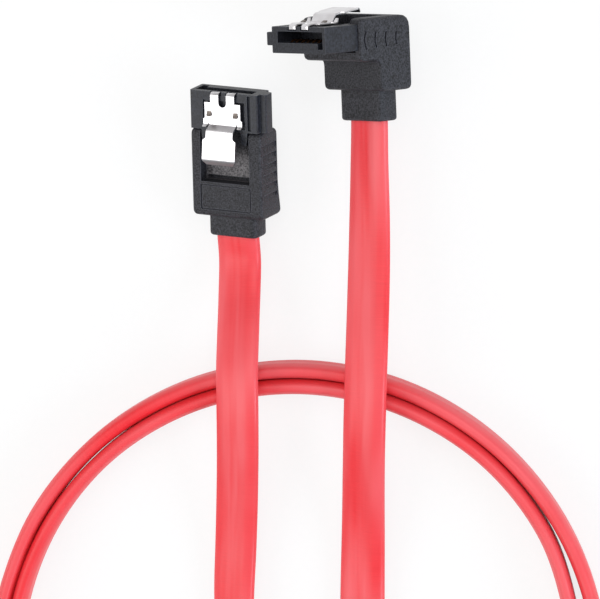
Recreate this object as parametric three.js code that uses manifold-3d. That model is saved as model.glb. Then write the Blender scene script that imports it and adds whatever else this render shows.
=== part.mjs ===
// A flat data cable with two latching seven-contact plugs: a straight one and a right-angle one.
// The cable lies in one and a half loose turns, standing on its edge, and both legs cross over the turns.
// Millimetres, +Z up. Each plug is drawn in its own frame: mouth at y = 0 and facing +Y, latch on top (+Z),
// and is then turned and set down where it lies.

import * as THREE from 'three';
import { mergeVertices } from 'three/addons/utils/BufferGeometryUtils.js';
import Module from 'manifold-3d';

const wasm = await Module();
wasm.setup();

const clearance = 0.3;
const overcut = 1;
const degree = Math.PI / 180;

// Housing: the hard plastic body that mates, the same on both plugs but for its reach
const bodyWidth = 12.5;
const bodyTop = 2.05;
const bodyBottom = -2.35;
const bodyChamfer = 0.25;
const straightReach = 6.5;
const angledReach = 7.35;
const roofWall = 0.8;
const slotHeight = 1.9;
const slotLeft = 5.6;
const slotRight = 4.95;
const slotDepth = 5.6;
const keyLegWidth = 1.2;
const keyLegDrop = 1.0;
const keyRibStand = 1.2;
const keyRibHeight = 2.2;
const tailWidth = 10.8;
const tailLength = 2.6;
const tailTop = -0.9;
const sideGrooveX = 4.35;
const sideGrooveWidth = 0.7;
const sideGrooveDepth = 0.45;
const tabWidth = 1.15;
const tabTipWidth = 0.7;
const tabLength = 2.2;
const tabThick = 0.9;
const tabOffset = 3.65;
const recessStart = 0.4;

// Contacts: seven sprung strips in channels in the slot's floor
const contactCount = 7;
const contactPitch = 1.27;
const contactWidth = 0.46;
const contactThick = 0.2;
const contactTipY = -1.9;
const contactCrown = 0.35;
const crownShoulder = 0.25;
const crownRun = 0.5;
const springEnd = 3.2;
const channelWidth = 0.86;
const channelDepth = 0.75;

// Latch clip: one bent steel sheet, held by two prongs hooked over the mouth's edge
const sheet = 0.3;
const plateHeight = 0.35;
const plateWidth = 6.6;
const plateStart = -1.75;
const plateEnd = -5.5;
const prongWidth = 1.5;
const prongGap = 1.44;
const prongTipDrop = 0.45;
const prongTipY = -0.2;
const prongBend = 0.3;
const notchDepth = 0.65;
const earWidth = 0.7;
const earStand = 0.3;
const earLength = 1.2;
const earSlope = 0.2;
const earHook = 0.8;
const stripWidth = 5.0;
const riseEnd = -6.35;
const riseHeight = 1.7;
const bendRadius = 0.15;
const padStep = -7.8;
const padShoulder = 0.4;
const padWidth = 6.1;
const padEnd = -10.95;
const padHeight = 2.3;
const lipEnd = -11.9;
const lipHeight = 1.7;
const lipCorner = 0.7;
const barbOffset = 2.45;
const barbY = -3.6;
const barbLength = 0.9;
const barbWidth = 0.8;
const barbHeight = 0.35;
const plateRecess = 0.4;

// Straight boot
const bootWidth = 13.1;
const bootShift = 0.2;
const bootFront = 2.2;
const bootBack = -4.1;
const bootLength = 14.9;
const bootFlare = 0.9;
const bootFlareLength = 5;
const bootRound = 0.65;
const bootCorner = 1.2;
const flareBend = 2;
const pocketHalfWidth = 4.55;
const pocketLength = 8.9;
const pocketFloor = -0.1;
const pocketLedge = 0.7;
const pocketLedgeDrop = 0.8;
const panelHalfWidth = 4.7;
const panelLength = 4.3;
const panelRecess = 0.08;
const panelMargin = 0.45;
const panelRound = 0.3;
const panelLine = 0.22;
const panelLineDepth = 0.3;
const gripCount = 6;
const gripPitch = 1.7;
const gripStart = 2.2;
const gripDepth = 0.45;
const gripRun = 1.25;

// Right-angle boot
const angledWidth = 13.8;
const angledTop = 3.0;
const angledLength = 11.8;
const angledBottom = -9.4;
const angledChin = -4.2;
const angledLegDepth = 7.25;
const angledBackCorner = 2.2;
const angledFootCorner = 1.1;
const angledPocketFloor = 0.8;
const angledPocketHalfWidth = 4.55;
const angledPocketLength = 8.2;
const crescentHeights = [3.1, 2.7, 2.5, 2.2];
const crescentStart = 1.0;
const crescentPitch = 2.4;
const crescentMiddle = -0.7;
const crescentRadius = 2.6;
const crescentWidth = 0.4;
const crescentDepth = 0.3;

// Collar where the cable enters either boot
const straightCollarWidth = 9.0;
const straightCollarShift = 0.5;
const straightCollarLength = 3.4;
const angledCollarWidth = 9.7;
const angledCollarLength = 5.1;
const collarDepth = 4.4;
const collarCorner = 1.3;
const collarRound = 0.5;

// Flat cable
const cableWidth = 7.6;
const cableThick = 2.45;
const cableValley = 0.15;
const cableRidge = 0.6;
const cableEdge = 0.35;
const cableInset = 3;
const cableSteps = 150;

// Where the plugs lie, measured from the centre of the turns, and how each is turned
const straightPlace = [-11.5, 97.9];
const straightTurn = [7, -19.4, 0.5];
const angledPlace = [1.55, 107.65];
const angledTurn = [-92.4, -2.6, 142.1];

// Turns of the loop: a slow spiral, one and a half turns from the right-hand side
const turnRadius = 47.45;
const turnGrowth = 2.68;
const turnLean = 1.2;
const turnLeanEnd = 50;
const turnStart = 10;
const turnEnd = 530;
const turnStep = 20;
const edgeGap = 0.05;
const edgeHeight = cableWidth / 2 + edgeGap;

// Chosen route points: x, y, z and the roll of the flat face in degrees (90 stands on its edge)
const straightLeg = [
  [-10.36, 69.0, 4.2, 19.4],
  [-10.3, 63.5, 5.3, 19.4],
  [-10.1, 57.5, 8.2, 19.4],
  [-9.95, 51.0, 10.6, 19.4],
  [-9.87, 45.0, 10.7, 19.4],
  [-10.1, 38.0, 8.9, 19.5],
  [-10.6, 30.0, 6.0, 20],
  [-11.2, 21.0, 3.5, 21],
  [-11.6, 12.0, 2.9, 24],
  [-11.4, 2.0, 3.1, 34],
  [-8.6, -9.0, 3.6, 50],
  [-2.2, -19.6, 3.85, 66],
  [7.2, -27.0, 3.9, 80],
  [18.4, -29.3, 3.85, 90],
  [29.2, -26.8, 3.85, 90],
  [38.2, -19.6, 3.85, 90],
  [43.8, -9.4, 3.85, 90],
  [46.0, 0.2, 3.85, 90],
];
const angledLeg = [
  [-51.5, 0.5, 3.85, 90],
  [-51.2, -9.6, 4.6, 96],
  [-48.95, -19.2, 7.2, 112],
  [-43.9, -28.4, 10.0, 132],
  [-36.1, -36.1, 11.4, 150],
  [-26.6, -41.0, 11.6, 162],
  [-16.4, -42.0, 11.6, 168],
  [-6.2, -39.6, 11.6, 172],
  [2.6, -33.2, 11.6, 174],
  [8.2, -24.4, 11.1, 175],
  [10.2, -14.4, 8.6, 176],
  [10.2, -4.4, 5.3, 176],
  [10.0, 5.6, 2.8, 176],
  [10.0, 15.0, 2.3, 175],
  [10.3, 24.0, 3.8, 173],
  [10.8, 33.0, 7.2, 170],
  [11.3, 41.0, 10.2, 168],
  [11.6, 48.0, 11.2, 166],
  [11.75, 55.0, 10.7, 163],
  [11.8, 63.0, 9.2, 159],
  [11.8, 71.0, 7.9, 154],
  [11.75, 79.0, 7.2, 149],
  [11.7, 86.0, 7.1, 144],
];

const slotFloor = bodyTop - roofWall - slotHeight;
const bootMiddle = (bootFront + bootBack) / 2;

// Solid helpers: closed meshes joined and cut

function toSolid(geometry) {
  const bare = geometry.clone();
  bare.deleteAttribute('normal');
  bare.deleteAttribute('uv');
  const merged = mergeVertices(bare, 1e-4);
  return new wasm.Manifold(new wasm.Mesh({
    numProp: 3,
    vertProperties: new Float32Array(merged.attributes.position.array),
    triVerts: new Uint32Array(merged.index.array),
  }));
}

function toGeometry(solid) {
  const mesh = solid.getMesh();
  const geometry = new THREE.BufferGeometry();
  geometry.setAttribute('position', new THREE.BufferAttribute(new Float32Array(mesh.vertProperties), 3));
  geometry.setIndex(new THREE.BufferAttribute(new Uint32Array(mesh.triVerts), 1));
  geometry.computeVertexNormals();
  return geometry;
}

// A box given by its two corners
function block(low, high) {
  const geometry = new THREE.BoxGeometry(high[0] - low[0], high[1] - low[1], high[2] - low[2]);
  geometry.translate((low[0] + high[0]) / 2, (low[1] + high[1]) / 2, (low[2] + high[2]) / 2);
  return toSolid(geometry);
}

// Closed outline with each corner rounded by its own radius
function roundedOutline(corners) {
  const shape = new THREE.Shape();
  corners.forEach(([x, y, radius], index) => {
    const [px, py] = corners[(index + corners.length - 1) % corners.length];
    const [nx, ny] = corners[(index + 1) % corners.length];
    const before = new THREE.Vector2(px - x, py - y).normalize().multiplyScalar(radius);
    const after = new THREE.Vector2(nx - x, ny - y).normalize().multiplyScalar(radius);
    if (index === 0) {
      shape.moveTo(x + before.x, y + before.y);
    } else {
      shape.lineTo(x + before.x, y + before.y);
    }
    if (radius > 0) shape.quadraticCurveTo(x, y, x + after.x, y + after.y);
  });
  shape.closePath();
  return shape;
}

function rectangle(left, bottom, right, top, radius) {
  return roundedOutline([
    [left, bottom, radius],
    [right, bottom, radius],
    [right, top, radius],
    [left, top, radius],
  ]);
}

// A bent strip of even thickness along a line of points
function stripOutline(points, thickness) {
  const middle = points.map(([x, y]) => new THREE.Vector2(x, y));
  const side = (sign) => middle.map((point, index) => {
    const before = middle[Math.max(index - 1, 0)];
    const after = middle[Math.min(index + 1, middle.length - 1)];
    const incoming = (index > 0 ? point.clone().sub(before) : after.clone().sub(point)).normalize();
    const outgoing = (index < middle.length - 1 ? after.clone().sub(point) : incoming.clone()).normalize();
    const mean = incoming.clone().add(outgoing).normalize();
    const reach = thickness / 2 / Math.max(mean.dot(outgoing), 0.5);
    return new THREE.Vector2(point.x - sign * mean.y * reach, point.y + sign * mean.x * reach);
  });
  return new THREE.Shape([...side(1), ...side(-1).reverse()]);
}

const frontToBack = new THREE.Matrix4().makeRotationX(Math.PI / 2);
const acrossPlug = new THREE.Matrix4().makeBasis(
  new THREE.Vector3(0, 1, 0), new THREE.Vector3(0, 0, 1), new THREE.Vector3(1, 0, 0));

// A flat outline given some depth, its two end faces rounded over if asked
function thicken(shape, depth, round) {
  const geometry = new THREE.ExtrudeGeometry(shape, {
    depth: depth - 2 * round,
    bevelEnabled: round > 0,
    bevelThickness: round,
    bevelSize: round,
    bevelOffset: -round,
    bevelSegments: 3,
    curveSegments: 4,
  });
  return geometry.translate(0, 0, round);
}

// Outline in x and z, carried from y = from towards the back
function backwards(shape, from, length, round = 0) {
  const geometry = thicken(shape, length, round).applyMatrix4(frontToBack);
  return toSolid(geometry.translate(0, from, 0));
}

// Outline in y and z, carried across the plug from x = left
function sideways(shape, left, width, round = 0) {
  const geometry = thicken(shape, width, round).applyMatrix4(acrossPlug);
  return toSolid(geometry.translate(left, 0, 0));
}

// Outline in x and y, carried upwards from z = bottom
function upwards(shape, bottom, height, round = 0) {
  return toSolid(thicken(shape, height, round).translate(0, 0, bottom));
}

// Housing

function slotOutline() {
  const top = slotFloor + slotHeight;
  return new THREE.Shape([
    new THREE.Vector2(-slotLeft, slotFloor - keyLegDrop),
    new THREE.Vector2(-slotLeft + keyLegWidth, slotFloor - keyLegDrop),
    new THREE.Vector2(-slotLeft + keyLegWidth, slotFloor),
    new THREE.Vector2(slotRight, slotFloor),
    new THREE.Vector2(slotRight, top),
    new THREE.Vector2(-slotLeft, top),
  ]);
}

function contactX(index) {
  return (index - (contactCount - 1) / 2) * contactPitch;
}

function housing(reach) {
  const half = bodyWidth / 2;
  let solid = backwards(rectangle(-half, bodyBottom, half, bodyTop, bodyChamfer), 0, reach);
  const rib = rectangle(half - overcut, -keyRibHeight / 2, half + keyRibStand, keyRibHeight / 2, bodyChamfer);
  solid = solid.add(backwards(rib, 0, reach));
  const tail = rectangle(-tailWidth / 2, bodyBottom, tailWidth / 2, tailTop, bodyChamfer);
  solid = solid.add(backwards(tail, -reach + overcut, tailLength + overcut));
  for (const side of [-1, 1]) {
    const near = side * (tabOffset - tabWidth / 2);
    const far = side * (tabOffset + tabWidth / 2);
    const tab = new THREE.Shape([
      new THREE.Vector2(near, -reach + overcut),
      new THREE.Vector2(near, -reach - tabLength / 2),
      new THREE.Vector2(near + side * (tabWidth - tabTipWidth) / 2, -reach - tabLength),
      new THREE.Vector2(far - side * (tabWidth - tabTipWidth) / 2, -reach - tabLength),
      new THREE.Vector2(far, -reach - tabLength / 2),
      new THREE.Vector2(far, -reach + overcut),
    ]);
    solid = solid.add(upwards(tab, bodyTop - tabThick, tabThick));
  }
  solid = solid.subtract(backwards(slotOutline(), overcut, slotDepth + overcut));
  for (let index = 0; index < contactCount; index += 1) {
    const x = contactX(index);
    solid = solid.subtract(block(
      [x - channelWidth / 2, -reach - tailLength - overcut, slotFloor - channelDepth],
      [x + channelWidth / 2, contactTipY + 2 * clearance, slotFloor + clearance]));
  }
  const recessHalf = plateWidth / 2 + earStand + clearance;
  solid = solid.subtract(block(
    [-recessHalf, -reach + recessStart, bodyTop - plateRecess],
    [recessHalf, plateStart + clearance, bodyTop + overcut]));
  for (const side of [-1, 1]) {
    const middle = side * (prongGap + prongWidth) / 2;
    solid = solid.subtract(block(
      [middle - prongWidth / 2 - clearance, prongTipY - sheet / 2 - clearance, bodyTop - notchDepth],
      [middle + prongWidth / 2 + clearance, overcut, bodyTop + overcut]));
  }
  solid = solid.subtract(block(
    [sideGrooveX, -reach + clearance, bodyTop - sideGrooveDepth],
    [sideGrooveX + sideGrooveWidth, -clearance, bodyTop + overcut]));
  return solid;
}

// Contacts

function contact(reach, index) {
  const low = slotFloor - channelDepth + clearance / 2 + contactThick / 2;
  const shoulder = slotFloor + crownShoulder;
  const line = [
    [contactTipY, slotFloor - contactThick],
    [contactTipY - crownRun, shoulder],
    [contactTipY - 2 * crownRun, slotFloor + contactCrown],
    [contactTipY - 3 * crownRun, shoulder],
    [contactTipY - springEnd, low],
    [-reach - tailLength + clearance, low],
  ];
  return sideways(stripOutline(line, contactThick), contactX(index) - contactWidth / 2, contactWidth);
}

// Latch clip

function clipPlan() {
  const inner = prongGap / 2;
  const outer = inner + prongWidth;
  const half = plateWidth / 2;
  const ear = half + earStand;
  const strip = stripWidth / 2;
  const pad = padWidth / 2;
  const earBack = plateEnd - clearance;
  const earFront = earBack + earLength;
  const right = [
    [outer, overcut],
    [outer, plateStart],
    [half, plateStart],
    [half, earFront + earSlope],
    [ear, earFront],
    [ear, earBack],
    [ear - earWidth, earBack],
    [strip, earBack + earHook],
    [strip, padStep + padShoulder],
    [pad, padStep],
    [pad, lipEnd + lipCorner],
    [pad - lipCorner, lipEnd - sheet],
  ];
  const shape = new THREE.Shape();
  shape.moveTo(inner, overcut);
  right.forEach(([x, y]) => shape.lineTo(x, y));
  right.slice().reverse().forEach(([x, y]) => shape.lineTo(-x, y));
  shape.lineTo(-inner, overcut);
  shape.lineTo(-inner, plateStart);
  shape.absarc(0, plateStart, inner, Math.PI, 2 * Math.PI, false);
  shape.closePath();
  return shape;
}

function latchClip() {
  const plate = bodyTop + plateHeight;
  const rise = bodyTop + riseHeight;
  const pad = bodyTop + padHeight;
  const line = [
    [prongTipY, bodyTop - prongTipDrop],
    [prongTipY, plate - prongBend],
    [prongTipY - prongBend, plate],
    [plateEnd, plate],
    [plateEnd - bendRadius, plate + bendRadius],
    [riseEnd + bendRadius, rise - bendRadius],
    [riseEnd - bendRadius, rise],
    [padEnd, pad],
    [padEnd - 2 * bendRadius, pad - bendRadius / 2],
    [lipEnd, bodyTop + lipHeight],
  ];
  const folded = sideways(stripOutline(line, sheet), -padWidth, 2 * padWidth);
  let solid = folded.intersect(upwards(clipPlan(), bodyTop - 2 * prongTipDrop, 2 * padHeight));
  for (const side of [-1, 1]) {
    solid = solid.add(sideways(barb(plate), side * barbOffset - barbWidth / 2, barbWidth));
  }
  return solid;
}

// A tooth pressed up out of the plate, rising towards the back, with a hollow under it
function barb(plate) {
  const top = plate + sheet / 2;
  const front = barbY + barbLength / 2;
  const back = barbY - barbLength / 2;
  return new THREE.Shape([
    new THREE.Vector2(front, plate),
    new THREE.Vector2(front, top),
    new THREE.Vector2(back + bendRadius, top + barbHeight),
    new THREE.Vector2(back, top + barbHeight - bendRadius / 2),
    new THREE.Vector2(back + sheet, top),
    new THREE.Vector2(back + sheet, plate),
  ]);
}

// Boots

// Room in a boot for the housing's tail
function tailRoom(reach) {
  const half = tailWidth / 2 + clearance;
  return block(
    [-half, -reach - tailLength - clearance, bodyBottom - clearance],
    [half, -reach + overcut, tailTop + clearance]);
}

// Outline of the cable, or of the hole that takes it: two round-edged halves with a shallow valley between
function cableOutline(grow = 0) {
  const w = cableWidth / 2 + grow;
  const t = cableThick / 2 + grow;
  const ridge = w * cableRidge;
  const upper = [
    [w, -t + 2 * cableEdge],
    [w, t - 2 * cableEdge],
    [w - cableEdge, t - cableEdge / 2],
    [ridge, t],
    [0, t - cableValley],
    [-ridge, t],
    [-w + cableEdge, t - cableEdge / 2],
  ];
  const lower = upper.map(([x, y]) => [-x, -y]);
  return new THREE.Shape([...upper, ...lower].map(([x, y]) => new THREE.Vector2(x, y)));
}

// The hole that takes the cable's end, from its mouth inwards
function cableHole(mouth, inward) {
  const across = new THREE.Vector3(1, 0, 0);
  const depth = cableInset + clearance + overcut;
  const geometry = new THREE.ExtrudeGeometry(cableOutline(clearance), { depth, bevelEnabled: false });
  geometry.translate(0, 0, -overcut);
  geometry.applyMatrix4(new THREE.Matrix4().makeBasis(across, inward.clone().cross(across), inward));
  geometry.translate(mouth.x, mouth.y, mouth.z);
  return toSolid(geometry);
}

// A saw-tooth groove in a side face: steep at its front, running out towards the back
function gripGroove(side, y) {
  const face = bootShift + side * bootWidth / 2;
  const outline = new THREE.Shape([
    new THREE.Vector2(face + side * overcut, y),
    new THREE.Vector2(face - side * gripDepth, y),
    new THREE.Vector2(face, y - gripRun),
    new THREE.Vector2(face + side * overcut, y - gripRun),
  ]);
  return upwards(outline, bootBack + bootRound, bootFront - bootBack - 2 * bootRound);
}

// The bare panel below the pocket: a hair lower than the boot, inside a fine moulded line
function panel(top) {
  const frame = rectangle(-panelHalfWidth, top - panelLength, panelHalfWidth, top, panelRound);
  const inner = rectangle(
    -panelHalfWidth + panelLine, top - panelLength + panelLine,
    panelHalfWidth - panelLine, top - panelLine, panelRound);
  const line = upwards(frame, bootFront - panelLineDepth, overcut)
    .subtract(upwards(inner, bootFront - panelLineDepth - overcut, 3 * overcut));
  return line.add(upwards(frame, bootFront - panelRecess, overcut));
}

function straightBoot() {
  const front = -straightReach;
  const end = front - bootLength;
  const side = roundedOutline([
    [front, bootBack, bootCorner],
    [front, bootFront, bootCorner],
    [end, bootFront, bootCorner],
    [end, bootBack - bootFlare, bootCorner],
    [end + bootFlareLength, bootBack, flareBend],
  ].reverse());
  let solid = sideways(side, bootShift - bootWidth / 2, bootWidth, bootRound);
  const collar = rectangle(
    straightCollarShift - straightCollarWidth / 2, bootMiddle - collarDepth / 2,
    straightCollarShift + straightCollarWidth / 2, bootMiddle + collarDepth / 2, collarCorner);
  solid = solid.add(backwards(collar, end + overcut, straightCollarLength + overcut, collarRound));
  solid = solid.subtract(tailRoom(straightReach));
  const pocketEnd = front - pocketLength;
  solid = solid.subtract(block(
    [-pocketHalfWidth, pocketEnd, pocketFloor],
    [pocketHalfWidth, front + overcut, bootFront + overcut]));
  solid = solid.subtract(block(
    [-pocketHalfWidth, pocketEnd, pocketFloor - pocketLedgeDrop],
    [pocketHalfWidth, pocketEnd + pocketLedge, pocketFloor + overcut]));
  solid = solid.subtract(panel(pocketEnd - panelMargin));
  for (let index = 0; index < gripCount; index += 1) {
    for (const sign of [-1, 1]) {
      solid = solid.subtract(gripGroove(sign, front - gripStart - index * gripPitch));
    }
  }
  const mouth = new THREE.Vector3(straightCollarShift, end - straightCollarLength, bootMiddle);
  return solid.subtract(cableHole(mouth, new THREE.Vector3(0, 1, 0)));
}

function crescent(height) {
  const sweep = Math.asin(height / 2 / crescentRadius);
  const shape = new THREE.Shape();
  shape.absarc(-crescentRadius, 0, crescentRadius + crescentWidth / 2, -sweep, sweep, false);
  shape.absarc(-crescentRadius, 0, crescentRadius - crescentWidth / 2, sweep, -sweep, true);
  shape.closePath();
  return shape;
}

function angledBoot() {
  const front = -angledReach;
  const back = front - angledLength;
  const half = angledWidth / 2;
  const side = roundedOutline([
    [front, angledChin, bootCorner],
    [front, angledTop, bootCorner],
    [back, angledTop, angledBackCorner],
    [back, angledBottom, angledFootCorner],
    [back + angledLegDepth, angledBottom, angledFootCorner],
    [back + angledLegDepth, angledChin, bootCorner],
  ].reverse());
  let solid = sideways(side, -half, angledWidth, bootRound);
  const middle = back + angledLegDepth / 2;
  const collar = rectangle(
    -angledCollarWidth / 2, middle - collarDepth / 2,
    angledCollarWidth / 2, middle + collarDepth / 2, collarCorner);
  const end = angledBottom - angledCollarLength;
  solid = solid.add(upwards(collar, end, angledCollarLength + overcut, collarRound));
  solid = solid.subtract(tailRoom(angledReach));
  solid = solid.subtract(block(
    [-angledPocketHalfWidth, front - angledPocketLength, angledPocketFloor],
    [angledPocketHalfWidth, front + overcut, angledTop + overcut]));
  crescentHeights.forEach((height, index) => {
    const y = front - crescentStart - index * crescentPitch;
    for (const x of [-half - overcut + crescentDepth, half - crescentDepth]) {
      solid = solid.subtract(sideways(crescent(height), x, overcut).translate([0, y, crescentMiddle]));
    }
  });
  const mouth = new THREE.Vector3(0, middle, end);
  return solid.subtract(cableHole(mouth, new THREE.Vector3(0, 0, 1)));
}

// Materials

const colours = {
  shell: { color: 0x3a3b42, roughness: 0.55, metalness: 0 },
  boot: { color: 0x37373c, roughness: 0.7, metalness: 0 },
  steel: { color: 0xd9d6d0, roughness: 0.22, metalness: 1 },
  bronze: { color: 0xb08a5a, roughness: 0.35, metalness: 1 },
  jacket: { color: 0xe8414b, roughness: 0.5, metalness: 0 },
};

function piece(name, solid, finish) {
  const mesh = new THREE.Mesh(toGeometry(solid), new THREE.MeshStandardMaterial(colours[finish]));
  mesh.name = name;
  return mesh;
}

function plug(name, reach, boot) {
  const group = new THREE.Group();
  group.add(piece(`${name}_housing`, housing(reach), 'shell'));
  group.add(piece(`${name}_boot`, boot, 'boot'));
  group.add(piece(`${name}_latch_clip`, latchClip(), 'steel'));
  for (let index = 0; index < contactCount; index += 1) {
    group.add(piece(`${name}_contact_${index + 1}`, contact(reach, index), 'bronze'));
  }
  return group;
}

// Turn a plug and set it down on the floor at its place
function lay(group, [x, y], turn) {
  group.rotation.set(turn[0] * degree, turn[1] * degree, turn[2] * degree, 'XYZ');
  group.position.set(x, y, 0);
  group.updateMatrixWorld(true);
  group.position.z = -new THREE.Box3().setFromObject(group, true).min.z;
  group.updateMatrixWorld(true);
}

// Cable: the route and the roll of its flat face

function cableRoute(straightPlug, angledPlug) {
  const turns = [];
  for (let angle = turnStart; angle <= turnEnd; angle += turnStep) {
    const lean = Math.max(turnLeanEnd - angle, 0) / (turnLeanEnd - turnStart);
    const radius = turnRadius + (turnGrowth * angle) / 360 - turnLean * lean * lean;
    turns.push([radius * Math.cos(angle * degree), radius * Math.sin(angle * degree), edgeHeight, 90]);
  }
  const straightEnd = -straightReach - bootLength - straightCollarLength;
  const angledMiddle = -angledReach - angledLength + angledLegDepth / 2;
  const angledEnd = angledBottom - angledCollarLength;
  const into = (group, x, y, z) => group.localToWorld(new THREE.Vector3(x, y, z)).toArray();
  return [
    [...into(straightPlug, straightCollarShift, straightEnd + cableInset, bootMiddle), straightLeg[0][3]],
    [...into(straightPlug, straightCollarShift, straightEnd, bootMiddle), straightLeg[0][3]],
    ...straightLeg,
    ...turns,
    ...angledLeg,
    [...into(angledPlug, 0, angledMiddle, angledEnd), angledLeg.at(-1)[3]],
    [...into(angledPlug, 0, angledMiddle, angledEnd + cableInset), angledLeg.at(-1)[3]],
  ];
}

// A curve whose frames follow the chosen roll instead of turning freely
class RibbonCurve extends THREE.CatmullRomCurve3 {
  constructor(route) {
    super(route.map(([x, y, z]) => new THREE.Vector3(x, y, z)), false, 'centripetal');
    this.rolls = route.map((point) => point[3]);
  }

  rollAt(u) {
    const place = this.getUtoTmapping(u) * (this.rolls.length - 1);
    const index = Math.min(Math.floor(place), this.rolls.length - 2);
    return THREE.MathUtils.lerp(this.rolls[index], this.rolls[index + 1], place - index) * degree;
  }

  computeFrenetFrames(steps) {
    const frames = { tangents: [], normals: [], binormals: [] };
    const up = new THREE.Vector3(0, 0, 1);
    for (let step = 0; step <= steps; step += 1) {
      const u = step / steps;
      const tangent = this.getTangentAt(u);
      const level = up.clone().cross(tangent).normalize();
      const rise = tangent.clone().cross(level);
      const roll = this.rollAt(u);
      const across = level.multiplyScalar(Math.cos(roll)).addScaledVector(rise, Math.sin(roll));
      frames.tangents.push(tangent);
      frames.normals.push(across);
      frames.binormals.push(tangent.clone().cross(across));
    }
    return frames;
  }
}

function cable(route) {
  const curve = new RibbonCurve(route);
  curve.arcLengthDivisions = 2000;
  const geometry = new THREE.ExtrudeGeometry(cableOutline(), { steps: cableSteps, extrudePath: curve });
  return piece('flat_cable', toSolid(geometry), 'jacket');
}

const straightPlug = plug('straight', straightReach, straightBoot());
const angledPlug = plug('angled', angledReach, angledBoot());
lay(straightPlug, straightPlace, straightTurn);
lay(angledPlug, angledPlace, angledTurn);

// The origin is on the floor, midway between the outer limits of the two plugs
const plugs = new THREE.Box3();
plugs.expandByObject(straightPlug, true);
plugs.expandByObject(angledPlug, true);
const origin = plugs.getCenter(new THREE.Vector3());

const group = new THREE.Group();
group.add(straightPlug, angledPlug, cable(cableRoute(straightPlug, angledPlug)));
group.position.set(-origin.x, -origin.y, 0);
group.updateMatrixWorld(true);

export default group;
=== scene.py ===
# %% [markdown]
# # A flat data cable with two latching plugs
# The real object is a red flat cable, about 85 cm long, with a straight plug on one end and a
# right-angle plug on the other. It lies on a table in one and a half loose turns.
# The CAD model comes in first. It is a fixed frame: every piece made below is placed by it.

# %% Load the frame
import math

import bmesh
import bpy
from mathutils import Matrix, Vector


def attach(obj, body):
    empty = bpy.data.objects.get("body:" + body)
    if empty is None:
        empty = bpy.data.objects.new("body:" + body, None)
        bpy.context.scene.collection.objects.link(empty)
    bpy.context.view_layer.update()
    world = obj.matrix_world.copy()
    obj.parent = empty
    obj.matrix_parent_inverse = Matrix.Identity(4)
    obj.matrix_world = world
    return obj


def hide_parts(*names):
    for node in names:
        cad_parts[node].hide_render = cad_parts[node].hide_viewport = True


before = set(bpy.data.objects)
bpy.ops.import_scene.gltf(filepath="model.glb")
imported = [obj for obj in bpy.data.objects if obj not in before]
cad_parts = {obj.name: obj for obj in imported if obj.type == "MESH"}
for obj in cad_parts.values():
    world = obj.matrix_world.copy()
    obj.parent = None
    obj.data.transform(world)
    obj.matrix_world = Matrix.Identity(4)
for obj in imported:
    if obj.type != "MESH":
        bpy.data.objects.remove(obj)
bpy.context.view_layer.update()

MM = 0.001

# %% [markdown]
# ## Camera
# The photograph looks almost straight down, tilted 8 degrees towards the top and the right-hand side.
# A long lens keeps the two plugs, which lie at different heights, at one scale.
# The picture's width comes from the contact pitch, which is the same on every plug of this kind.

# %% Camera
IMAGE_WIDTH = 99.34 * MM
COIL_CENTRE = Vector((-0.41676, -92.671, 0)) * MM
TARGET = COIL_CENTRE + Vector((-0.897, 61.923, 0)) * MM
TOWARDS = Vector((0.13784, 0.13784, 0.98082))
FOCUS_HEIGHT = 9 * MM

camera_data = bpy.data.cameras.new("camera")
camera_data.sensor_width = 36
camera_data.lens = 600
camera = bpy.data.objects.new("camera", camera_data)
bpy.context.scene.collection.objects.link(camera)
bpy.context.scene.camera = camera
image_right = Vector((TOWARDS.z, 0, -TOWARDS.x)).normalized()
image_up = TOWARDS.cross(image_right).normalized()
distance = IMAGE_WIDTH * camera_data.lens / camera_data.sensor_width
turned = Matrix((image_right, image_up, TOWARDS.normalized())).transposed().to_4x4()
camera.matrix_world = Matrix.Translation(TARGET + TOWARDS * (distance + FOCUS_HEIGHT)) @ turned
camera_data.clip_start, camera_data.clip_end = 0.01, 20
print(f"camera {distance:.2f} m away")

# %% [markdown]
# ## Where the plugs lie
# Each plug has a frame of its own: the mouth is at y = 0 and faces +Y, and the latch is on top, +Z.
# The table below gives each frame's origin and axes in the shared frame, as the CAD model has them.
# Patterns such as brushing and grain are laid out in a plug's own frame, so they turn with it.

# %% Plug frames
PLUG_FRAMES = {
    "straight": (
        (-11.91676, 5.229, 8.8747),
        (0.94319, -0.03182, 0.33074),
        (-0.00823, 0.99286, 0.11899),
        (-0.33216, -0.11495, 0.93619),
    ),
    "angled": (
        (1.13324, 14.979, 19.11003),
        (-0.78827, -0.06149, -0.61225),
        (-0.61365, 0.0052, 0.78956),
        (-0.04536, 0.99809, -0.04183),
    ),
}


def plug_matrix(plug):
    """Takes millimetres in the plug's own frame to metres in the shared frame."""
    origin, *axes = PLUG_FRAMES[plug]
    turn = Matrix(axes).transposed().to_4x4()
    return Matrix.Translation(Vector(origin) * MM) @ turn @ Matrix.Scale(MM, 4)


def in_plug(plug, x, y, z):
    return plug_matrix(plug) @ Vector((x, y, z))


print("plug mouths:", [tuple(round(v, 4) for v in in_plug(p, 0, 0, 0)) for p in PLUG_FRAMES])

# %% [markdown]
# ## The cable's route
# A flat cable has a line to follow and a roll: how far its flat face is turned about that line.
# On the legs it lies nearly flat. In the turns it stands on its edge, because a flat cable
# bends easily only across its thin side, and its top edge tips outwards a little on the right.
# Each row is x, y, z in metres, from the middle of the coil, and the roll in degrees.
# The turns between the two legs are a slowly growing circle, given by angles in degrees.

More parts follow.
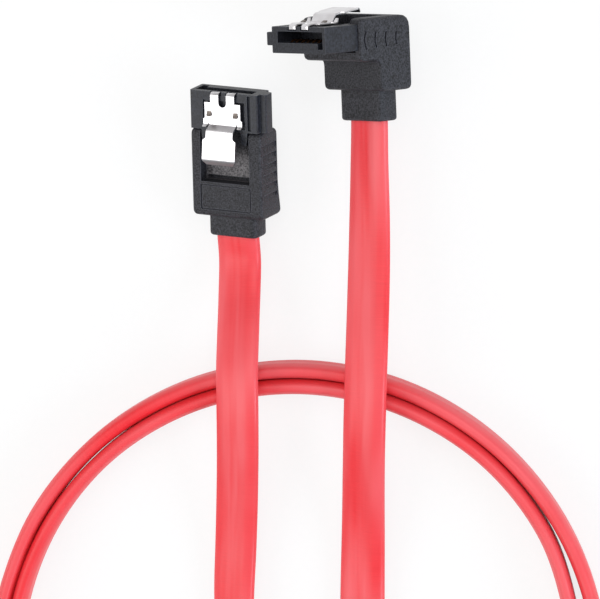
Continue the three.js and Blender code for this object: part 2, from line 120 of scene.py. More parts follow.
# %% Route of the cable
STRAIGHT_LEG = [
    (-0.01036, 0.0690, 0.0042, 19.4), (-0.0103, 0.0635, 0.0053, 19.4), (-0.0101, 0.0575, 0.0082, 19.4),
    (-0.00995, 0.0510, 0.0106, 19.4), (-0.00987, 0.0450, 0.0107, 19.4), (-0.0101, 0.0380, 0.0089, 19.5),
    (-0.0106, 0.0300, 0.0060, 20), (-0.0112, 0.0210, 0.0035, 21), (-0.0116, 0.0120, 0.0029, 24),
    (-0.0114, 0.0020, 0.0031, 34), (-0.0086, -0.0090, 0.0036, 50), (-0.0022, -0.0196, 0.00385, 66),
    (0.0072, -0.0270, 0.0039, 80), (0.0184, -0.0293, 0.00385, 90), (0.0292, -0.0268, 0.00385, 90),
    (0.0382, -0.0196, 0.00385, 92), (0.0438, -0.0094, 0.00385, 94), (0.0460, 0.0002, 0.00385, 97),
]
ANGLED_LEG = [
    (-0.0515, 0.0005, 0.00385, 90), (-0.0512, -0.0096, 0.0046, 96), (-0.04895, -0.0192, 0.0072, 112),
    (-0.0439, -0.0284, 0.0100, 132), (-0.0361, -0.0361, 0.0114, 150), (-0.0266, -0.0410, 0.0116, 162),
    (-0.0164, -0.0420, 0.0116, 168), (-0.0062, -0.0396, 0.0116, 172), (0.0026, -0.0332, 0.0116, 174),
    (0.0082, -0.0244, 0.0111, 175), (0.0102, -0.0144, 0.0086, 176), (0.0102, -0.0044, 0.0053, 176),
    (0.0100, 0.0056, 0.0028, 174), (0.0100, 0.0150, 0.0023, 169), (0.0103, 0.0240, 0.0038, 163),
    (0.0108, 0.0330, 0.0072, 160), (0.0113, 0.0410, 0.0102, 160), (0.0116, 0.0480, 0.0112, 160),
    (0.01175, 0.0550, 0.0107, 160), (0.0118, 0.0630, 0.0092, 160), (0.0118, 0.0710, 0.0079, 158),
    (0.01175, 0.0790, 0.0072, 153), (0.0117, 0.0860, 0.0071, 146),
]
TURN_RADIUS, TURN_GROWTH, TURN_HEIGHT = 0.04745, 0.00268, 0.00385
TURN_LEAN, LEAN_START, LEAN_END = 0.0012, 10, 50
ON_EDGE, TIP, TIP_ANGLE, TIP_SPREAD = 90, 8, 15, 35
FIRST_ANGLE, LAST_ANGLE, ANGLE_STEP = 10, 530, 20
STRAIGHT_ROLL, ANGLED_ROLL = 19.4, 144
STRAIGHT_EXIT = in_plug("straight", 0.5, -24.8, -0.95)
ANGLED_EXIT = in_plug("angled", 0, -15.525, -14.5)
STRAIGHT_INSIDE = in_plug("straight", 0.5, -21.8, -0.95)
ANGLED_INSIDE = in_plug("angled", 0, -15.525, -11.5)


def around(angle):
    lean = max(LEAN_END - angle, 0) / (LEAN_END - LEAN_START)
    radius = TURN_RADIUS + TURN_GROWTH * angle / 360 - TURN_LEAN * lean * lean
    turn = math.radians(angle)
    off = (angle - TIP_ANGLE + 180) % 360 - 180
    tipped = TIP * math.exp(-((off / TIP_SPREAD) ** 2))
    place = Vector((radius * math.cos(turn), radius * math.sin(turn), TURN_HEIGHT))
    return COIL_CENTRE + place, ON_EDGE + tipped


def laid(rows):
    return [(COIL_CENTRE + Vector(row[:3]), row[3]) for row in rows]


route = [(STRAIGHT_INSIDE, STRAIGHT_ROLL), (STRAIGHT_EXIT, STRAIGHT_ROLL)]
route += laid(STRAIGHT_LEG)
route += [around(angle) for angle in range(FIRST_ANGLE, LAST_ANGLE + 1, ANGLE_STEP)]
route += laid(ANGLED_LEG)
route += [(ANGLED_EXIT, ANGLED_ROLL), (ANGLED_INSIDE, ANGLED_ROLL)]
print(len(route), "route points")

# %% [markdown]
# ## From route points to one smooth line
# A centripetal Catmull-Rom curve passes through every point and doesn't overshoot in tight bends.
# It is sampled finely, and the roll is smoothed along it, so that the jacket twists evenly.

# %% Smooth line with its side direction
SAMPLES_PER_SPAN = 12


def catmull(p0, p1, p2, p3, t):
    d0, d1, d2 = (max((b - a).length, 1e-6) ** 0.5 for a, b in ((p0, p1), (p1, p2), (p2, p3)))
    m1 = ((p1 - p0) / d0 - (p2 - p0) / (d0 + d1) + (p2 - p1) / d1) * d1
    m2 = ((p2 - p1) / d1 - (p3 - p1) / (d1 + d2) + (p3 - p2) / d2) * d1
    return p1 + m1 * t + (3 * (p2 - p1) - 2 * m1 - m2) * t * t + (2 * (p1 - p2) + m1 + m2) * t**3


def smooth_line(rows):
    points = [row[0] for row in rows]
    points = [2 * points[0] - points[1], *points, 2 * points[-1] - points[-2]]
    line, rolls = [], []
    for i in range(len(rows) - 1):
        for step in range(SAMPLES_PER_SPAN):
            t = step / SAMPLES_PER_SPAN
            line.append(catmull(*points[i : i + 4], t))
            rolls.append(rows[i][1] + (rows[i + 1][1] - rows[i][1]) * t)
    return [*line, points[-2]], [*rolls, rows[-1][1]]


def softened(values, reach=10):
    padded = [values[0]] * reach + list(values) + [values[-1]] * reach
    return [sum(padded[i : i + 2 * reach + 1]) / (2 * reach + 1) for i in range(len(values))]


def side_directions(line, rolls):
    sides = []
    for i, roll in enumerate(rolls):
        along = (line[min(i + 1, len(line) - 1)] - line[max(i - 1, 0)]).normalized()
        level = Vector((0, 0, 1)).cross(along).normalized()
        turn = math.radians(roll)
        sides.append(level * math.cos(turn) + along.cross(level) * math.sin(turn))
    return sides


line, rolls = smooth_line(route)
sides = side_directions(line, softened(rolls))

# %% [markdown]
# ## Building with nodes
# Both Geometry Nodes trees and materials are built in code. This small helper adds a node,
# sets its options and fills or links its inputs, so that a tree reads as a list of steps.

# %% Helpers for node trees


def add(tree, kind, inputs=None, **options):
    node = tree.nodes.new(kind)
    for key, value in options.items():
        setattr(node, key, value)
    for key, value in (inputs or {}).items():
        if isinstance(value, bpy.types.NodeSocket):
            tree.links.new(value, node.inputs[key])
        else:
            node.inputs[key].default_value = value
    return node


def maths(tree, operation, *values):
    return add(tree, "ShaderNodeMath", dict(enumerate(values)), operation=operation).outputs[0]


def geometry_tree(name, sizes):
    """A tree with a geometry input and output, and one named number input for each size."""
    tree = bpy.data.node_groups.new(name, "GeometryNodeTree")
    tree.interface.new_socket("Geometry", in_out="INPUT", socket_type="NodeSocketGeometry")
    for size in sizes:
        tree.interface.new_socket(size, in_out="INPUT", socket_type="NodeSocketFloat")
    tree.interface.new_socket("Material", in_out="INPUT", socket_type="NodeSocketMaterial")
    tree.interface.new_socket("Geometry", in_out="OUTPUT", socket_type="NodeSocketGeometry")
    return tree, tree.nodes.new("NodeGroupInput"), tree.nodes.new("NodeGroupOutput")


def run_tree(tree, source, values, name):
    """Runs the tree on an object, keeps the result as a plain mesh, and removes the source."""
    modifier = source.modifiers.new("build", "NODES")
    modifier.node_group = tree
    identifiers = {s.name: s.identifier for s in tree.interface.items_tree if s.in_out == "INPUT"}
    for key, value in values.items():
        modifier[identifiers[key]] = value
    bpy.context.view_layer.update()
    depsgraph = bpy.context.evaluated_depsgraph_get()
    mesh = bpy.data.meshes.new_from_object(source.evaluated_get(depsgraph))
    mesh.name = name
    bpy.data.objects.remove(source)
    result = bpy.data.objects.new(name, mesh)
    bpy.context.scene.collection.objects.link(result)
    return result


print("node helpers ready")

# %% [markdown]
# ## Finishes, shared effects first
# Three effects are used by more than one material, so each is a node group with named inputs:
# a fine moulded grain, a mask for edges that are painted paler as a highlight and smoothed by wear, and
# fine lines from rolling or drawing.
# They read a "local" attribute: the place in millimetres in the plug's own frame, or along the cable.

# %% Shared effect groups


def effect(name, inputs, outputs):
    tree = bpy.data.node_groups.new(name, "ShaderNodeTree")
    for label, value in inputs.items():
        socket = tree.interface.new_socket(label, in_out="INPUT", socket_type="NodeSocketFloat")
        socket.default_value = value
    for label in outputs:
        tree.interface.new_socket(label, in_out="OUTPUT", socket_type="NodeSocketFloat")
    return tree, tree.nodes.new("NodeGroupInput"), tree.nodes.new("NodeGroupOutput")


def local_place(tree):
    return add(tree, "ShaderNodeAttribute", attribute_name="local").outputs["Vector"]


def noise(tree, place, scale, detail):
    inputs = {"Vector": place, "Scale": scale, "Detail": detail}
    return add(tree, "ShaderNodeTexNoise", inputs).outputs["Fac"]


def grain_effect():
    """The height is the fine grain alone; the tone mixes it with broad patches."""
    tree, given, out = effect("moulded grain", {"Scale": 6, "Patches": 0.5}, ["Height", "Tone"])
    place = local_place(tree)
    fine = noise(tree, place, given.outputs["Scale"], 3)
    broad = noise(tree, place, given.outputs["Patches"], 2)
    tree.links.new(fine, out.inputs["Height"])
    mixed = maths(tree, "MULTIPLY_ADD", fine, 0.6, maths(tree, "MULTIPLY", broad, 0.4))
    tree.links.new(mixed, out.inputs["Tone"])
    return tree


def edge_effect():
    """The mask is strong where a rounded normal leaves the real one, broken up by a speckle. It marks the
    edges for a painted highlight and for wear.
    """
    tree, given, out = effect("edge highlight and wear", {"Radius": 0.00015, "Strength": 6}, ["Mask"])
    rounded = add(tree, "ShaderNodeBevel", {"Radius": given.outputs["Radius"]}, samples=6).outputs[0]
    flat = add(tree, "ShaderNodeNewGeometry").outputs["Normal"]
    dot = add(tree, "ShaderNodeVectorMath", {0: rounded, 1: flat}, operation="DOT_PRODUCT")
    bend = maths(tree, "SUBTRACT", 1, dot.outputs["Value"])
    strong = maths(tree, "MULTIPLY", bend, given.outputs["Strength"])
    speckle = noise(tree, local_place(tree), 1.4, 3)
    broken = maths(tree, "MULTIPLY", strong, maths(tree, "ADD", speckle, 0.25))
    tree.links.new(maths(tree, "MINIMUM", broken, 1), out.inputs["Mask"])
    return tree


def lines_effect():
    """The height is a noise stretched along Y; the tone is a soft, broad one."""
    tree, given, out = effect("fine lines", {"Across": 14, "Along": 0.4}, ["Height", "Tone"])
    parts = add(tree, "ShaderNodeSeparateXYZ", {0: local_place(tree)})
    stretched = add(tree, "ShaderNodeCombineXYZ", {
        "X": maths(tree, "MULTIPLY", parts.outputs["X"], given.outputs["Across"]),
        "Y": maths(tree, "MULTIPLY", parts.outputs["Y"], given.outputs["Along"]),
        "Z": parts.outputs["Z"],
    })
    tree.links.new(noise(tree, stretched.outputs[0], 1, 2), out.inputs["Height"])
    tree.links.new(noise(tree, local_place(tree), 0.35, 1), out.inputs["Tone"])
    return tree


GRAIN, EDGES, LINES = grain_effect(), edge_effect(), lines_effect()
print("effects:", [group.name for group in (GRAIN, EDGES, LINES)])

# %% [markdown]
# ## The materials
# The boots are a soft matt plastic with a fine grain, the housings a harder and smoother one.
# The clips are bright rolled spring steel, the contacts a plated bronze, and the jacket a satin red PVC.
# Each material mixes its colours by an effect's height or tone, and turns the height into bump.

# %% Helpers for materials
NOISE_LOW, NOISE_HIGH = 0.34, 0.66


def srgb(red, green, blue):
    """A colour as a picture shows it, 0 to 255, as the linear values that the shader takes."""
    parts = (value / 255 for value in (red, green, blue))
    return (*((p / 12.92 if p <= 0.04045 else ((p + 0.055) / 1.055) ** 2.4) for p in parts), 1)


def material(name, metallic=0.0, **shader_values):
    made = bpy.data.materials.new(name)
    made.use_nodes = True
    shader = made.node_tree.nodes["Principled BSDF"]
    shader.inputs["Metallic"].default_value = metallic
    for key, value in shader_values.items():
        shader.inputs[key.replace("_", " ")].default_value = value
    return made, made.node_tree, shader


def use(tree, group, **values):
    node = add(tree, "ShaderNodeGroup", node_tree=group)
    for key, value in values.items():
        node.inputs[key].default_value = value
    return node.outputs


def blend_colours(tree, factor, first, second):
    mix = add(tree, "ShaderNodeMix", data_type="RGBA")
    for slot, value in ((0, factor), (6, first), (7, second)):
        if isinstance(value, bpy.types.NodeSocket):
            tree.links.new(value, mix.inputs[slot])
        else:
            mix.inputs[slot].default_value = value
    return mix.outputs[2]


def ranged(tree, value, low, high):
    """Spreads the middle third of a noise over a range of its own."""
    limits = {"Value": value, 1: NOISE_LOW, 2: NOISE_HIGH, 3: low, 4: high}
    return add(tree, "ShaderNodeMapRange", limits).outputs[0]


def bump(tree, height, strength, depth, below=None):
    inputs = {"Height": height, "Strength": strength, "Distance": depth}
    if below is not None:
        inputs["Normal"] = below
    return add(tree, "ShaderNodeBump", inputs).outputs[0]


print("material helpers ready")

# %% [markdown]
# ## Moulded plastics
# A fine grain mottles both plastics. Their edges are painted a little paler, a painted highlight, and
# made a little smoother by wear.
# The floor of the straight plug's pocket catches more light than the rest of its boot,
# so a box in the plug's frame gives it paler tones.

# %% Moulded plastics
WEAR_SMOOTHS = 0.12
BOX_BORDER = 0.12


def inside_box(tree, low, high, soft):
    """1 inside a box of the plug's own frame and 0 outside, with soft borders, in millimetres.
    X is taken without its sign, so that one box stands for a pair beside the plug's middle."""
    place = add(tree, "ShaderNodeSeparateXYZ", {0: local_place(tree)}).outputs
    parts = {"X": maths(tree, "ABSOLUTE", place["X"]), "Y": place["Y"], "Z": place["Z"]}
    share = 1
    for axis, start, end, edge in zip("XYZ", low, high, soft):
        for border, inwards in ((start, edge), (end, -edge)):
            limits = {"Value": parts[axis], 1: border - inwards, 2: border + inwards}
            step = add(tree, "ShaderNodeMapRange", limits).outputs[0]
            share = maths(tree, "MULTIPLY", share, step)
    return share


def plastic(name, dark, light, edge_highlight, rough, gloss, grain_scale, grain_depth, pale_box=None):
    made, tree, shader = material(name, Specular_IOR_Level=gloss)
    grain = use(tree, GRAIN, Scale=grain_scale, Patches=0.45)
    mask = use(tree, EDGES, Radius=0.00016, Strength=5)["Mask"]
    mottle = ranged(tree, grain["Height"], 0, 1)
    body = blend_colours(tree, mottle, dark, light)
    if pale_box:
        pale = blend_colours(tree, mottle, *POCKET_TONES)
        body = blend_colours(tree, inside_box(tree, *pale_box, POCKET_BORDERS), body, pale)
    # The edge mask paints the edges paler: a painted highlight.
    colour = blend_colours(tree, mask, body, edge_highlight)
    tree.links.new(colour, shader.inputs["Base Color"])
    matt = ranged(tree, grain["Tone"], rough - 0.06, rough + 0.06)
    roughness = maths(tree, "SUBTRACT", matt, maths(tree, "MULTIPLY", mask, WEAR_SMOOTHS))
    tree.links.new(roughness, shader.inputs["Roughness"])
    tree.links.new(bump(tree, grain["Height"], 0.5, grain_depth), shader.inputs["Normal"])
    return made


# The third tone of each set is the painted highlight on the edges.
BOOT_TONES = srgb(6, 6, 8), srgb(60, 60, 66), srgb(88, 89, 98)
BOOT_FINISH = {"rough": 0.54, "gloss": 0.3, "grain_scale": 3.7, "grain_depth": 0.00016}
SHELL_TONES = srgb(20, 21, 26), srgb(44, 46, 54), srgb(74, 77, 86)
SHELL_FINISH = {"rough": 0.42, "gloss": 0.33, "grain_scale": 2.8, "grain_depth": 0.00004}
POCKET_TONES = srgb(58, 56, 58), srgb(128, 125, 128)
POCKET_FLOOR = (-1, -17.5, -0.5), (5.2, -10.4, 0.2)
POCKET_BORDERS = (BOX_BORDER, 1.3, BOX_BORDER)
BOOT = plastic("boot plastic", *BOOT_TONES, **BOOT_FINISH)
POCKET_BOOT = plastic(
    "boot plastic with a pale pocket", *BOOT_TONES, **BOOT_FINISH, pale_box=POCKET_FLOOR
)
SHELL = plastic("housing plastic", *SHELL_TONES, **SHELL_FINISH)
print("plastics:", BOOT.name, POCKET_BOOT.name, SHELL.name)

# %% [markdown]
# ## Metals
# Rolling and drawing leave faint lines along a strip, and a little difference in roughness.
# The bent lip and the pressed barbs of a clip are rougher than its flat plate. They are also painted
# darker: a darker painted reflection on the lip, and painted shade on the barbs.

# %% Spring steel and plated bronze
SATIN_AND_SHADE_BORDERS = (0.04, 0.04, 0.04)
SATIN_ROUGHENS = 0.15


def metal(name, dark, light, rough, across, along, depth, satin_and_shade_boxes=()):
    made, tree, shader = material(name, metallic=1.0)
    lines = use(tree, LINES, Across=across, Along=along)
    body = blend_colours(tree, ranged(tree, lines["Tone"], 0, 1), dark, light)
    roughness = ranged(tree, lines["Height"], rough - 0.02, rough + 0.03)
    # Each box paints its part darker as painted shade and makes it rougher.
    for low, high, tone in satin_and_shade_boxes:
        satin_and_shade = inside_box(tree, low, high, SATIN_AND_SHADE_BORDERS)
        body = blend_colours(tree, satin_and_shade, body, tone)
        roughness = maths(tree, "MULTIPLY_ADD", satin_and_shade, SATIN_ROUGHENS, roughness)
    tree.links.new(body, shader.inputs["Base Color"])
    tree.links.new(roughness, shader.inputs["Roughness"])
    tree.links.new(bump(tree, lines["Height"], 0.35, depth), shader.inputs["Normal"])
    return made


# The lip's tone is a darker painted reflection, and the barbs' tone is painted shade.
CLIP_LIP = (-1, -14, -5), (5, -10.95, 8), srgb(140, 140, 142)
CLIP_BARBS = (2.0, -4.2, 2.56), (2.9, -3.0, 5), srgb(112, 104, 98)
STEEL_TONES = srgb(210, 207, 208), srgb(224, 222, 224)
STEEL_FINISH = {"rough": 0.3, "across": 3.5, "along": 0.2, "depth": 0.0000005}
BRONZE_TONES = srgb(148, 100, 66), srgb(180, 130, 86)
BRONZE_FINISH = {"rough": 0.34, "across": 6, "along": 0.8, "depth": 0.000006}
STEEL = metal("spring steel", *STEEL_TONES, **STEEL_FINISH, satin_and_shade_boxes=(CLIP_LIP, CLIP_BARBS))
BRONZE = metal("plated bronze", *BRONZE_TONES, **BRONZE_FINISH)
print("metals:", STEEL.name, BRONZE.name)

# %% [markdown]
# ## Jacket
# Extruding leaves faint streaks along the flat middle of each face, painted paler as a painted sheen,
# and a fine ridge on both sides of it. The shoulders outside the ridges are a plain, deeper red.
# All the widths are in millimetres across the cable.

# %% Red jacket
FLAT_HALF, FLAT_BORDER = 2.1, 0.12
RIDGE_WIDTH = 0.2
JACKET_TONES = srgb(222, 31, 41), srgb(232, 43, 51)
SHEEN_STREAK_TONE = srgb(230, 84, 90)


def jacket_material():
    made, tree, shader = material("red jacket")
    lines = use(tree, LINES, Across=4.0, Along=0.03)
    grain = use(tree, GRAIN, Scale=7, Patches=0.07)
    across = add(tree, "ShaderNodeSeparateXYZ", {0: local_place(tree)}).outputs["X"]
    from_middle = maths(tree, "ABSOLUTE", across)
    limits = {"Value": from_middle, 1: FLAT_HALF + FLAT_BORDER, 2: FLAT_HALF - FLAT_BORDER}
    flat = add(tree, "ShaderNodeMapRange", limits).outputs[0]
    body = blend_colours(tree, ranged(tree, grain["Tone"], 0, 1), *JACKET_TONES)
    # The streaks in the flat middle are painted paler: a painted sheen.
    sheen_streaks = maths(tree, "MULTIPLY", flat, ranged(tree, lines["Height"], 0.0, 1.1))
    sheen_streaked = blend_colours(tree, sheen_streaks, body, SHEEN_STREAK_TONE)
    tree.links.new(sheen_streaked, shader.inputs["Base Color"])
    tree.links.new(ranged(tree, grain["Tone"], 0.4, 0.5), shader.inputs["Roughness"])
    off = maths(tree, "DIVIDE", maths(tree, "SUBTRACT", from_middle, FLAT_HALF), RIDGE_WIDTH)
    ridge = maths(tree, "EXPONENT", maths(tree, "MULTIPLY", maths(tree, "MULTIPLY", off, off), -1))
    relief = maths(tree, "ADD", maths(tree, "MULTIPLY", lines["Height"], flat), ridge)
    extruded = bump(tree, relief, 0.85, 0.00014)
    tree.links.new(bump(tree, grain["Height"], 0.2, 0.00002, below=extruded), shader.inputs["Normal"])
    return made


JACKET = jacket_material()
print("jacket:", JACKET.name)

# %% [markdown]
# ## The flat cable
# Two cores run side by side in one jacket, so each face is flat in the middle, with a fine ridge
# where its shoulders begin to fall off. The section never changes, so it is swept along a line:
# the Geometry Nodes tree bends a circle into that section and sweeps it, turned by each point's roll.

# %% Tree for the flat cable
SECTION_POINTS = 72
WIDTH_POWER, THICKNESS_POWER = 0.5, 0.42


def store_number(tree, geometry, name, value):
    inputs = {"Geometry": geometry, "Name": name, "Value": value}
    stored = add(tree, "GeometryNodeStoreNamedAttribute", inputs, data_type="FLOAT", domain="POINT")
    return stored.outputs[0]


def cable_section(tree, given):
    """A unit circle, flattened to a rounded bar, whose shoulders fall off on both sides of a flat."""
    circle = add(tree, "GeometryNodeCurvePrimitiveCircle", {"Resolution": SECTION_POINTS, "Radius": 1.0})
    at = add(tree, "ShaderNodeSeparateXYZ", {0: add(tree, "GeometryNodeInputPosition").outputs[0]})

    def swollen(value, power, size):
        """One coordinate of the circle, pushed outwards and scaled to half of the size."""
        grown = maths(tree, "POWER", maths(tree, "ABSOLUTE", value), power)
        signed = maths(tree, "MULTIPLY", maths(tree, "SIGN", value), grown)
        return maths(tree, "MULTIPLY", signed, maths(tree, "MULTIPLY", given.outputs[size], 0.5))

    across = swollen(at.outputs["X"], WIDTH_POWER, "Width")
    thick = swollen(at.outputs["Y"], THICKNESS_POWER, "Thickness")
    past_flat = maths(tree, "SUBTRACT", maths(tree, "ABSOLUTE", across), given.outputs["Flat half width"])
    slope = maths(tree, "MULTIPLY", maths(tree, "MAXIMUM", past_flat, 0), given.outputs["Shoulder slope"])
    pressed = maths(tree, "MULTIPLY", slope, maths(tree, "SIGN", at.outputs["Y"]))
    moved = add(tree, "ShaderNodeCombineXYZ", {"X": across, "Y": maths(tree, "SUBTRACT", thick, pressed)})
    placed = {"Geometry": circle.outputs[0], "Position": moved.outputs[0]}
    bent = add(tree, "GeometryNodeSetPosition", placed).outputs[0]
    return store_number(tree, bent, "across", across)


def cable_tree():
    sizes = ["Width", "Thickness", "Flat half width", "Shoulder slope"]
    tree, given, out = geometry_tree("flat cable", sizes)
    rail = add(tree, "GeometryNodeMeshToCurve", {0: given.outputs["Geometry"]}).outputs[0]
    length = add(tree, "GeometryNodeSplineParameter").outputs["Length"]
    rail = store_number(tree, rail, "along", length)
    side = add(tree, "GeometryNodeInputNamedAttribute", {"Name": "side"}, data_type="FLOAT_VECTOR")
    faced = {"Curve": rail, "Normal": side.outputs[0]}
    rail = add(tree, "GeometryNodeSetCurveNormal", faced, mode="FREE").outputs[0]
    drawn = {"Curve": rail, "Profile Curve": cable_section(tree, given), "Fill Caps": True}
    swept = add(tree, "GeometryNodeCurveToMesh", drawn).outputs[0]
    smooth = add(tree, "GeometryNodeSetShadeSmooth", {"Geometry": swept}).outputs[0]
    real = add(tree, "GeometryNodeRealizeInstances", {"Geometry": smooth}).outputs[0]
    done = add(tree, "GeometryNodeSetMaterial", {"Geometry": real, "Material": given.outputs["Material"]})
    tree.links.new(done.outputs[0], out.inputs[0])
    return tree


print("tree for the cable ready")

# %% [markdown]
# ## Sweeping the cable
# The line becomes a mesh of edges that carries each point's side direction. The tree sweeps the
# section along it. Then each point of the jacket stores its place in millimetres for the material.

# %% Sweep the cable
CABLE_WIDTH, CABLE_THICK = 0.0076, 0.00258
SHOULDER_SLOPE = 0.2
FACE_SHIFT = 0.2


def polyline(name, points, directions):
    mesh = bpy.data.meshes.new(name)
    mesh.from_pydata(points, [(i, i + 1) for i in range(len(points) - 1)], [])
    side = mesh.attributes.new("side", "FLOAT_VECTOR", "POINT")
    side.data.foreach_set("vector", [value for direction in directions for value in direction])
    made = bpy.data.objects.new(name, mesh)
    bpy.context.scene.collection.objects.link(made)
    return made


def closed_outwards(mesh):
    """Merges doubles and points every face outwards."""
    work = bmesh.new()
    work.from_mesh(mesh)
    bmesh.ops.remove_doubles(work, verts=work.verts, dist=1e-7)
    bmesh.ops.recalc_face_normals(work, faces=work.faces)
    work.to_mesh(mesh)
    work.free()


cable = run_tree(cable_tree(), polyline("route", line, sides), {
    "Width": CABLE_WIDTH,
    "Thickness": CABLE_THICK,
    "Flat half width": FLAT_HALF * MM,
    "Shoulder slope": SHOULDER_SLOPE,
    "Material": JACKET,
}, "red_cable")
closed_outwards(cable.data)


def store_cable_places(mesh):
    """The place on the jacket in millimetres: across it, along it, and a shift between its faces."""
    across = [item.value for item in mesh.attributes["across"].data]
    along = [item.value for item in mesh.attributes["along"].data]
    local = mesh.attributes.new("local", "FLOAT_VECTOR", "POINT")
    values = []
    for i, normal in enumerate(mesh.vertex_normals):
        values += [across[i] / MM, along[i] / MM, normal.vector.z * FACE_SHIFT]
    local.data.foreach_set("vector", values)


store_cable_places(cable.data)
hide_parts("flat_cable")
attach(cable, "cable")
print("cable:", len(cable.data.polygons), "faces,", [m.name for m in cable.data.materials])

# %% [markdown]
# ## Housings, boots and clips
# The CAD solids already have the right shape, but their edges are knife sharp and their faces are
# loose triangles. A copy is merged and its flat areas joined into whole faces. Then a narrow bevel
# runs along each real edge, as a mould or a stamping leaves it, and the corners catch the light.
# The largest face at each corner sets the normals there, so flat faces keep a flat shading.

# %% Refined copies of the CAD solids
MERGE_DISTANCE = 2e-6
FLAT_ANGLE, SHARP_ANGLE = 1.5, 28
EDGE_SEGMENTS = 2


def smooth_mesh(source, edge):
    mesh = source.data.copy()
    work = bmesh.new()
    work.from_mesh(mesh)
    bmesh.ops.transform(work, matrix=source.matrix_world, verts=work.verts)
    bmesh.ops.remove_doubles(work, verts=work.verts, dist=MERGE_DISTANCE)
    flat = math.radians(FLAT_ANGLE)
    bmesh.ops.dissolve_limit(work, angle_limit=flat, verts=work.verts, edges=work.edges)
    bmesh.ops.recalc_face_normals(work, faces=work.faces)
    work.to_mesh(mesh)
    work.free()
    mesh.shade_smooth()
    holder = bpy.data.objects.new("holder", mesh)
    bpy.context.scene.collection.objects.link(holder)
    bevel = holder.modifiers.new("edge", "BEVEL")
    bevel.width, bevel.segments = edge, EDGE_SEGMENTS
    bevel.limit_method, bevel.angle_limit = "ANGLE", math.radians(SHARP_ANGLE)
    bevel.use_clamp_overlap = True
    weighted = holder.modifiers.new("flat faces lead", "WEIGHTED_NORMAL")
    weighted.mode, weighted.weight, weighted.keep_sharp = "FACE_AREA", 100, True
    bpy.context.view_layer.update()
    depsgraph = bpy.context.evaluated_depsgraph_get()
    made = bpy.data.meshes.new_from_object(holder.evaluated_get(depsgraph))
    bpy.data.objects.remove(holder)
    return made


def store_plug_places(mesh, plug):
    back = plug_matrix(plug).inverted()
    local = mesh.attributes.new("local", "FLOAT_VECTOR", "POINT")
    local.data.foreach_set("vector", [v for vertex in mesh.vertices for v in back @ vertex.co])


def refined(node, plug, body, finish, edge):
    """The finished piece that takes the place of a CAD node, with bevels of the width edge."""
    mesh = smooth_mesh(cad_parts[node], edge)
    mesh.name = f"fine_{node}"
    mesh.materials.clear()
    mesh.materials.append(finish)
    store_plug_places(mesh, plug)
    piece = bpy.data.objects.new(f"fine_{node}", mesh)
    bpy.context.scene.collection.objects.link(piece)
    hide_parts(node)
    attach(piece, body)
    print(piece.name, len(mesh.polygons), "faces")
    return piece


for plug in PLUG_FRAMES:
    for part, body, slot, finish, edge in (
        ("housing", "cable", "shell", SHELL, 0.00009),
        ("boot", "cable", "boot", POCKET_BOOT if plug == "straight" else BOOT, 0.00014),
        ("latch_clip", f"{plug}_clip", "steel", STEEL, 0.00004),
    ):
        node = f"{plug}_{part}"
        refined(node, plug, body, finish, edge)

# %% [markdown]
# ## Contacts
# The fourteen sprung strips are blanked from thin bronze. They are made in the same way, with the
# narrowest bevel, and the fine lines run along each strip.

# %% Contacts
CONTACT_EDGE = 0.00003

for plug in PLUG_FRAMES:
    for number in range(1, 8):
        node = f"{plug}_contact_{number}"
        refined(node, plug, "cable", BRONZE, CONTACT_EDGE)

# %% [markdown]
# ## The cable's ends
# The cable leaves the straight plug's collar and goes into the right-angle plug's collar.
# The plugs' housings and boots are attached to the same body as the cable.

# %% [markdown]
# ## Floor and light
# The photograph's background is plain white. Where the camera or a reflection sees the floor,
# most of its white is a glow of its own, and the rest still takes a soft shadow from the object.

# %% Floor
FLOOR_SIZE = 6.0
GLOW_SHARE = 0.82
PAPER_TONES = srgb(236, 236, 236), srgb(240, 240, 240)


def floor_material():
    made, tree, shader = material("paper floor", Roughness=0.9)
    paper = noise(tree, add(tree, "ShaderNodeTexCoord").outputs["Object"], 900, 2)
    colour = blend_colours(tree, ranged(tree, paper, 0, 1), *PAPER_TONES)
    tree.links.new(colour, shader.inputs["Base Color"])
    glow = add(tree, "ShaderNodeEmission", {"Color": (1, 1, 1, 1), "Strength": 1.0})
    rays = add(tree, "ShaderNodeLightPath").outputs
    seen = maths(tree, "MAXIMUM", rays["Is Camera Ray"], rays["Is Glossy Ray"])
    share = maths(tree, "MULTIPLY", seen, GLOW_SHARE)
    mix = add(tree, "ShaderNodeMixShader", {0: share, 1: shader.outputs[0], 2: glow.outputs[0]})
    tree.links.new(mix.outputs[0], tree.nodes["Material Output"].inputs["Surface"])
    return made


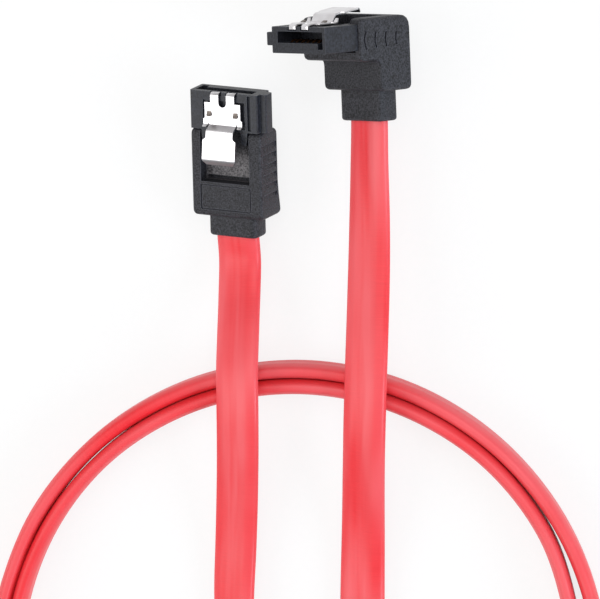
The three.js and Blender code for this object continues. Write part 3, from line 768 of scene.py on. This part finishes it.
floor_mesh = bpy.data.meshes.new("floor")
half = FLOOR_SIZE / 2
corners = [(-half, -half, 0), (half, -half, 0), (half, half, 0), (-half, half, 0)]
floor_mesh.from_pydata(corners, [], [(0, 1, 2, 3)])
floor_mesh.materials.append(floor_material())
floor = bpy.data.objects.new("floor", floor_mesh)
bpy.context.scene.collection.objects.link(floor)
print("floor", FLOOR_SIZE, "m wide")

# %% [markdown]
# ## Lamps and sky
# One large lamp stands above and to the left. A second one is overhead, and a small bluish one
# on the right brightens the side faces. The sky is a little brighter at the horizon, so that the
# steel has both bright and grey areas to reflect, and plain white where the camera sees it.

# %% Lamps and sky
HORIZON_LIGHT, OVERHEAD_LIGHT = 0.62, 0.5


def lamp(name, place, size, power, colour=(1, 1, 1)):
    data = bpy.data.lights.new(name, "AREA")
    data.color = colour
    data.shape, data.size, data.energy = "SQUARE", size, power
    made = bpy.data.objects.new(name, data)
    made.location = place
    made.rotation_euler = (TARGET - Vector(place)).to_track_quat("-Z", "Y").to_euler()
    bpy.context.scene.collection.objects.link(made)
    return made


lamp("key", (-0.743, -0.22, 0.655), 0.75, 4.5)
lamp("overhead", (0.1, 0.3, 1.0), 0.6, 3.2)
lamp("right fill", (0.8, -0.25, 0.45), 0.4, 5.2, (0.76, 0.87, 1.0))

world = bpy.data.worlds.new("studio")
bpy.context.scene.world = world
world.use_nodes = True
sky = world.node_tree
backdrop = sky.nodes["Background"]
direction = add(sky, "ShaderNodeSeparateXYZ", {0: add(sky, "ShaderNodeTexCoord").outputs["Generated"]})
rise = {"Value": direction.outputs["Z"], 1: 0.0, 2: 0.9, 3: HORIZON_LIGHT, 4: OVERHEAD_LIGHT}
brightness = add(sky, "ShaderNodeMapRange", rise).outputs[0]
camera_ray = add(sky, "ShaderNodeLightPath").outputs["Is Camera Ray"]
sky.links.new(maths(sky, "MAXIMUM", brightness, camera_ray), backdrop.inputs["Strength"])
backdrop.inputs["Color"].default_value = (1, 1, 1, 1)
bpy.context.scene.view_settings.view_transform = "Standard"
print("lamps and sky set")
